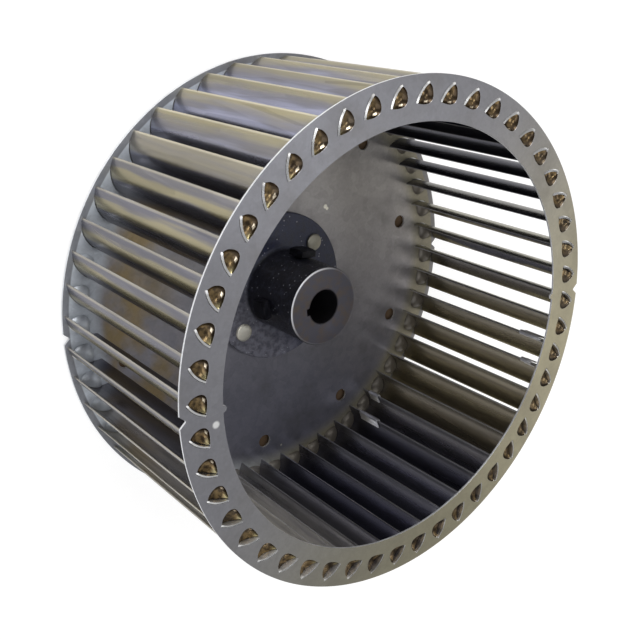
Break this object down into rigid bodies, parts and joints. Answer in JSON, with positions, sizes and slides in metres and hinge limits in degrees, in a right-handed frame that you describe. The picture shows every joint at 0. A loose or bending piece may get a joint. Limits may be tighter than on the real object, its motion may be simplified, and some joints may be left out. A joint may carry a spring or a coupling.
{
  "type": "blower wheel",
  "caption": "Single-inlet squirrel-cage blower wheel: forward-curved sheet blades between an inlet ring and a back plate, riveted to a keyed hub with set screws.",
  "frame": {"origin": "on the wheel's axis, at the level of the rear ends of the hub rivets, on which the wheel stands", "axes": "+Z along the axis towards the open inlet; +X points at the rim, about seven tenths of a degree past a blade, and the angles in the notes run from it counter-clockwise seen from the inlet"},
  "size_m": [0.3048, 0.3048, 0.1374],
  "materials": {
    "galvanised_sheet": "zinc-coated sheet, satin",
    "hub_casting": "black, slightly rough",
    "rivet_steel": "satin",
    "black_steel": "black oxide",
    "spring_steel": "bright"
  },
  "bodies": {
    "wheel": {"blades_01": "galvanised_sheet", "blades_02": "galvanised_sheet", "blades_03": "galvanised_sheet", "blades_04": "galvanised_sheet", "blades_05": "galvanised_sheet", "blades_06": "galvanised_sheet", "blades_07": "galvanised_sheet", "blades_08": "galvanised_sheet", "blades_09": "galvanised_sheet", "blades_10": "galvanised_sheet", "blades_11": "galvanised_sheet", "blades_12": "galvanised_sheet", "back_plate": "galvanised_sheet", "inlet_ring": "galvanised_sheet", "hub": "hub_casting", "hub_rivets": "rivet_steel", "balance_clip_1": "spring_steel", "balance_clip_2": "spring_steel", "balance_clip_3": "spring_steel", "balance_clip_4": "spring_steel"},
    "shaft_screw": {"set_screw_1": "black_steel"},
    "key_screw": {"set_screw_2": "black_steel"}
  },
  "joints": [
    {"name": "shaft_screw_travel", "type": "slide", "parent": "wheel", "child": "shaft_screw", "axis": [-0.1045, 0.9945, 0], "range_m": [-0.0006, 0.012]},
    {"name": "key_screw_travel", "type": "slide", "parent": "wheel", "child": "key_screw", "axis": [-0.9455, -0.3256, 0], "range_m": [-0.0006, 0.012]}
  ]
}
